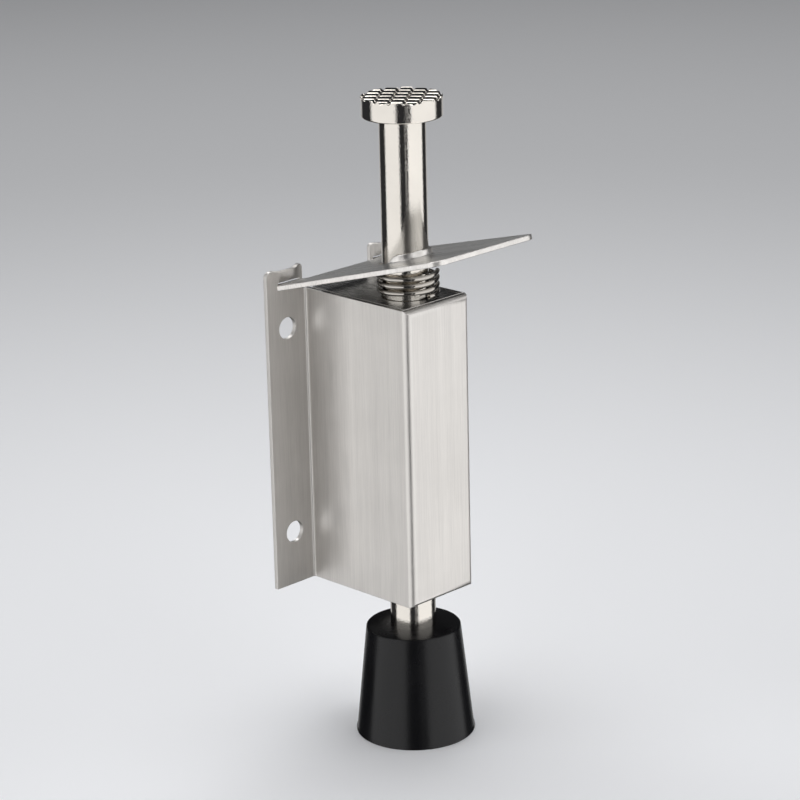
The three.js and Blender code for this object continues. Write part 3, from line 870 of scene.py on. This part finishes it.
class Finish:
    """A material being put together: one shader, and what feeds it."""

    def __init__(self, name, metallic):
        self.material = bpy.data.materials.new(name)
        self.material.use_nodes = True
        self.tree = self.material.node_tree
        self.tree.nodes.clear()
        output = self.tree.nodes.new("ShaderNodeOutputMaterial")
        self.shader = self.tree.nodes.new("ShaderNodeBsdfPrincipled")
        self.shader.inputs["Metallic"].default_value = metallic
        self.tree.links.new(self.shader.outputs["BSDF"], output.inputs["Surface"])
        place = self.tree.nodes.new("ShaderNodeTexCoord")
        self.place = place.outputs["Object"]

    def use(self, group, **values):
        node = self.tree.nodes.new("ShaderNodeGroup")
        node.node_tree = group
        self.tree.links.new(self.place, node.inputs["Vector"])
        for label, value in values.items():
            node.inputs[label].default_value = value
        return node.outputs

    def paint(self, colour, mask, low, high):
        """Base colour between two shades of one colour."""
        mix = self.tree.nodes.new("ShaderNodeMix")
        mix.data_type = "RGBA"
        sockets = [s for s in mix.inputs if s.type == "RGBA"]
        for socket, shade in zip(sockets, (low, high)):
            socket.default_value = (*(min(1, c * shade) for c in colour), 1)
        self.tree.links.new(mask, mix.inputs["Factor"])
        result = next(s for s in mix.outputs if s.type == "RGBA")
        self.tree.links.new(result, self.shader.inputs["Base Color"])

    def gloss(self, mask, low, high):
        self.tree.links.new(spread(self.tree, mask, 0, 1, low, high), self.shader.inputs["Roughness"])

    def relief(self, height, strength, distance):
        bump = self.tree.nodes.new("ShaderNodeBump")
        bump.inputs["Strength"].default_value = strength
        bump.inputs["Distance"].default_value = distance
        self.tree.links.new(height, bump.inputs["Height"])
        self.tree.links.new(bump.outputs["Normal"], self.shader.inputs["Normal"])


def brushed(name, colour, stretch, groups, gloss=(0.38, 0.48), relief=0.3, shades=(0.86, 1.07)):
    finish = Finish(name, 1.0)
    grain = finish.use(groups["grain"], Stretch=stretch)
    marks = finish.use(groups["handling"])
    mask = 0.0
    for part, share in ((grain["Streaks"], 0.5), (grain["Bands"], 0.25), (marks["Patches"], 0.25)):
        mask = arithmetic(finish.tree, "ADD", mask, arithmetic(finish.tree, "MULTIPLY", part, share))
    finish.paint(colour, mask, *shades)
    dulled = arithmetic(finish.tree, "MULTIPLY", marks["Patches"], 0.5)
    finish.gloss(arithmetic(finish.tree, "MAXIMUM", grain["Streaks"], dulled), *gloss)
    finish.relief(grain["Streaks"], relief, 0.02 * MM)
    return finish.material


def sheared(name, colour, groups):
    """A cut edge: bright, with short lines across the sheet."""
    finish = Finish(name, 1.0)
    grain = finish.use(groups["grain"], Stretch=(5200, 5200, 900))
    finish.paint(colour, grain["Streaks"], 0.92, 1.2)
    finish.gloss(grain["Bands"], 0.28, 0.5)
    finish.relief(grain["Streaks"], 0.4, 0.015 * MM)
    return finish.material


def plated(name, colour, groups, scale, gloss, relief, depth):
    finish = Finish(name, 1.0)
    ripple = finish.use(groups["ripple"], Scale=scale)
    marks = finish.use(groups["handling"])
    finish.paint(colour, marks["Patches"], 0.95, 1.03)
    finish.gloss(arithmetic(finish.tree, "MAXIMUM", ripple["Specks"], marks["Patches"]), *gloss)
    finish.relief(ripple["Height"], relief, depth)
    return finish.material


def moulded_rubber(name, colour, groups):
    finish = Finish(name, 0.0)
    finish.shader.inputs["Specular IOR Level"].default_value = 0.36
    ripple = finish.use(groups["ripple"], Scale=1800.0)
    marks = finish.use(groups["handling"])
    dust = arithmetic(finish.tree, "MULTIPLY", marks["Patches"], 0.35)
    finish.paint(colour, arithmetic(finish.tree, "MAXIMUM", dust, ripple["Specks"]), 0.85, 1.9)
    finish.gloss(marks["Patches"], 0.22, 0.30)
    finish.relief(ripple["Height"], 0.35, 0.05 * MM)
    return finish.material


def pale_floor_with_painted_falloff(name, colour):
    finish = Finish(name, 0.0)
    finish.shader.inputs["Specular IOR Level"].default_value = 0.1
    away = finish.tree.nodes.new("ShaderNodeVectorMath")
    away.operation = "LENGTH"
    finish.tree.links.new(finish.place, away.inputs[0])
    # painted shade: the floor's colour darkens further from the middle, standing in for the falloff of the
    # lights
    painted_falloff = spread(finish.tree, away.outputs["Value"], -0.06, 0.70)
    painted_falloff.node.interpolation_type = "SMOOTHSTEP"
    finish.paint(colour, painted_falloff, 1.0, 0.56)
    finish.gloss(painted_falloff, 0.8, 0.9)
    return finish.material


def finishes():
    """The materials, made once."""
    if "Housing steel" in bpy.data.materials:
        return {material.name: material for material in bpy.data.materials}
    colours = bpy.context.scene.holder_finishes
    groups = {"grain": grain_group(), "ripple": ripple_group(), "handling": handling_group()}
    made = [
        brushed("Housing steel", colours.housing, (4200, 4200, 90), groups),
        # painted shade: both flaps take the lever's darker colour and darker shades, standing in for the
        # shade under the lever; the grain runs along the flap
        brushed(
            "Housing flap steel", colours.lever, (4200, 90, 4200), groups, (0.20, 0.34), 0.3, (0.70, 0.95)
        ),
        sheared("Housing cut edge", colours.housing, groups),
        brushed("Lever steel", colours.lever, (2200, 50, 50), groups, (0.24, 0.38), 0.5, (0.74, 1.3)),
        sheared("Lever cut edge", colours.housing, groups),
        plated("Nickel plate", colours.nickel, groups, 3000.0, (0.02, 0.06), 1.0, 0.03 * MM),
        plated("Spring wire", colours.wire, groups, 2200.0, (0.05, 0.14), 0.4, 0.03 * MM),
        plated("Zinc plate", colours.zinc, groups, 1200.0, (0.25, 0.4), 0.2, 0.05 * MM),
        moulded_rubber("Foot rubber", colours.rubber, groups),
        pale_floor_with_painted_falloff("Pale floor", colours.floor),
    ]
    return {material.name: material for material in made}


# The stage.


def soft_box(name, toward, distance, size, power):
    """A large soft light that faces the object from a direction. The camera doesn't see it."""
    light = bpy.data.lights.new(name, "AREA")
    light.shape = "RECTANGLE"
    light.size, light.size_y = size
    light.energy = power
    obj = bpy.data.objects.new(name, light)
    bpy.context.scene.collection.objects.link(obj)
    direction = Vector(toward).normalized()
    obj.location = ROD_AXIS + direction * distance
    obj.rotation_euler = direction.to_track_quat("Z", "Y").to_euler()
    obj.visible_camera = False


def around(degrees, rise=0.0):
    """A direction from the object: an angle from +X, seen from above, and a rise for each metre away."""
    a = math.radians(degrees)
    return (math.cos(a), math.sin(a), rise)


def build_camera():
    turn, rise, roll = (math.radians(degrees) for degrees in (CAMERA_TURN, CAMERA_RISE, CAMERA_ROLL))
    back = Vector((math.sin(turn) * math.cos(rise), -math.cos(turn) * math.cos(rise), math.sin(rise)))
    right = Vector((math.cos(turn), math.sin(turn), 0))
    up = back.cross(right)
    aim = CAMERA_TARGET + right * CAMERA_SHIFT_RIGHT + up * CAMERA_SHIFT_UP
    turned_right = right * math.cos(roll) + up * math.sin(roll)
    turned_up = up * math.cos(roll) - right * math.sin(roll)
    data = bpy.data.cameras.new("Camera")
    data.sensor_width = SENSOR_MM
    data.lens = LENS_MM
    data.clip_start = 0.01
    camera = bpy.data.objects.new("Camera", data)
    bpy.context.scene.collection.objects.link(camera)
    place = Matrix((turned_right, turned_up, back)).transposed().to_4x4()
    place.translation = aim + back * CAMERA_DISTANCE
    camera.matrix_world = place
    bpy.context.scene.camera = camera


def build_stage(material):
    floor_reach = 6  # metres to each side
    bm = bmesh.new()
    bmesh.ops.create_grid(bm, x_segments=8, y_segments=8, size=floor_reach)
    bmesh.ops.translate(bm, vec=(0, 0, CAD_LOW.z), verts=bm.verts)
    floor = shape_object("Floor", bm)
    floor.data.materials.append(material)
    # the metal mirrors the lights alone, not the floor
    floor.visible_glossy = False
    floor.visible_shadow = False
    soft_box("Left soft box", around(169), distance=0.9, size=(1.46, 2.6), power=11.9)
    soft_box("Right soft box", around(-69), distance=0.9, size=(1.62, 2.6), power=14.1)
    soft_box("Strip light", around(-121.5), distance=0.9, size=(0.04, 2.6), power=0.22)
    soft_box("Back soft box", around(45, rise=-0.3), distance=1.7, size=(2.2, 0.9), power=2.8)
    soft_box("Top soft box", (0.2, 0.3, 1), distance=1.4, size=(1.4, 1.4), power=16.5)
    world = bpy.data.worlds.new("Studio")
    world.use_nodes = True
    background = world.node_tree.nodes["Background"]
    background.inputs["Color"].default_value = (*STUDIO_DARK, 1)
    bpy.context.scene.world = world
    bpy.context.scene.view_settings.view_transform = "Standard"
    build_camera()


# Operators, one for each piece or group of like pieces.


class HOLDER_OT_housing(Operator):
    """Build the folded steel housing with its flanges, ears and flaps"""

    bl_idname = "door_holder.housing"
    bl_label = "Housing"

    def execute(self, context):
        steel = finishes()
        names = ("Housing steel", "Housing flap steel", "Housing cut edge")
        build_housing(context.scene.holder_housing, [steel[name] for name in names])
        return {"FINISHED"}


class HOLDER_OT_lever(Operator):
    """Build the tilting lever plate"""

    bl_idname = "door_holder.lever"
    bl_label = "Lever plate"

    def execute(self, context):
        steel = finishes()
        build_lever(context.scene.holder_lever, [steel["Lever steel"], steel["Lever cut edge"]])
        return {"FINISHED"}


class HOLDER_OT_plunger(Operator):
    """Build the rod and its knurled head"""

    bl_idname = "door_holder.plunger"
    bl_label = "Rod and head"

    def execute(self, context):
        nickel = finishes()["Nickel plate"]
        build_rod(context.scene.holder_plunger, nickel)
        build_head(context.scene.holder_plunger, nickel)
        return {"FINISHED"}


class HOLDER_OT_springs(Operator):
    """Build the lever spring and the return spring"""

    bl_idname = "door_holder.springs"
    bl_label = "Springs"

    def execute(self, context):
        build_springs(context.scene.holder_springs, finishes()["Spring wire"])
        return {"FINISHED"}


class HOLDER_OT_foot(Operator):
    """Build the rubber foot"""

    bl_idname = "door_holder.foot"
    bl_label = "Rubber foot"

    def execute(self, context):
        build_foot(context.scene.holder_foot, finishes()["Foot rubber"])
        return {"FINISHED"}


class HOLDER_OT_fasteners(Operator):
    """Build the two washers, the retaining ring and the foot's screw"""

    bl_idname = "door_holder.fasteners"
    bl_label = "Washers, ring and screw"

    def execute(self, context):
        sizes = context.scene.holder_fasteners
        made = finishes()
        zinc = made["Zinc plate"]
        build_washer("spring_washer", "Spring_washer", sizes.spring_washer_hole, sizes, zinc)
        build_washer("foot_washer", "Foot_washer", sizes.foot_washer_hole, sizes, zinc)
        build_ring(sizes, made["Spring wire"])
        build_screw(sizes, zinc)
        return {"FINISHED"}


class HOLDER_OT_stage(Operator):
    """Set up the floor, the soft lights and the camera"""

    bl_idname = "door_holder.stage"
    bl_label = "Stage"

    def execute(self, context):
        build_stage(finishes()["Pale floor"])
        return {"FINISHED"}


STEPS = (
    HOLDER_OT_housing,
    HOLDER_OT_lever,
    HOLDER_OT_plunger,
    HOLDER_OT_springs,
    HOLDER_OT_foot,
    HOLDER_OT_fasteners,
    HOLDER_OT_stage,
)
SETTINGS = {
    "holder_housing": HousingSizes,
    "holder_lever": LeverSizes,
    "holder_plunger": PlungerSizes,
    "holder_springs": SpringSizes,
    "holder_foot": FootSizes,
    "holder_fasteners": FastenerSizes,
    "holder_finishes": Finishes,
}


class HOLDER_PT_panel(Panel):
    """Lists the steps that build the door holder"""

    bl_idname = "HOLDER_PT_panel"
    bl_label = "Door Holder"
    bl_space_type = "VIEW_3D"
    bl_region_type = "UI"
    bl_category = "Door Holder"

    def draw(self, context):
        for step in STEPS:
            self.layout.operator(step.bl_idname)


def register():
    for item in (*SETTINGS.values(), *STEPS, HOLDER_PT_panel):
        bpy.utils.register_class(item)
    for name, group in SETTINGS.items():
        setattr(bpy.types.Scene, name, PointerProperty(type=group))


def unregister():
    for name in SETTINGS:
        delattr(bpy.types.Scene, name)
    for item in reversed((*SETTINGS.values(), *STEPS, HOLDER_PT_panel)):
        bpy.utils.unregister_class(item)


def main():
    register()
    bpy.ops.door_holder.housing()
    bpy.ops.door_holder.lever()
    bpy.ops.door_holder.plunger()
    bpy.ops.door_holder.springs()
    bpy.ops.door_holder.foot()
    bpy.ops.door_holder.fasteners()
    bpy.ops.door_holder.stage()


if __name__ == "__main__":
    main()
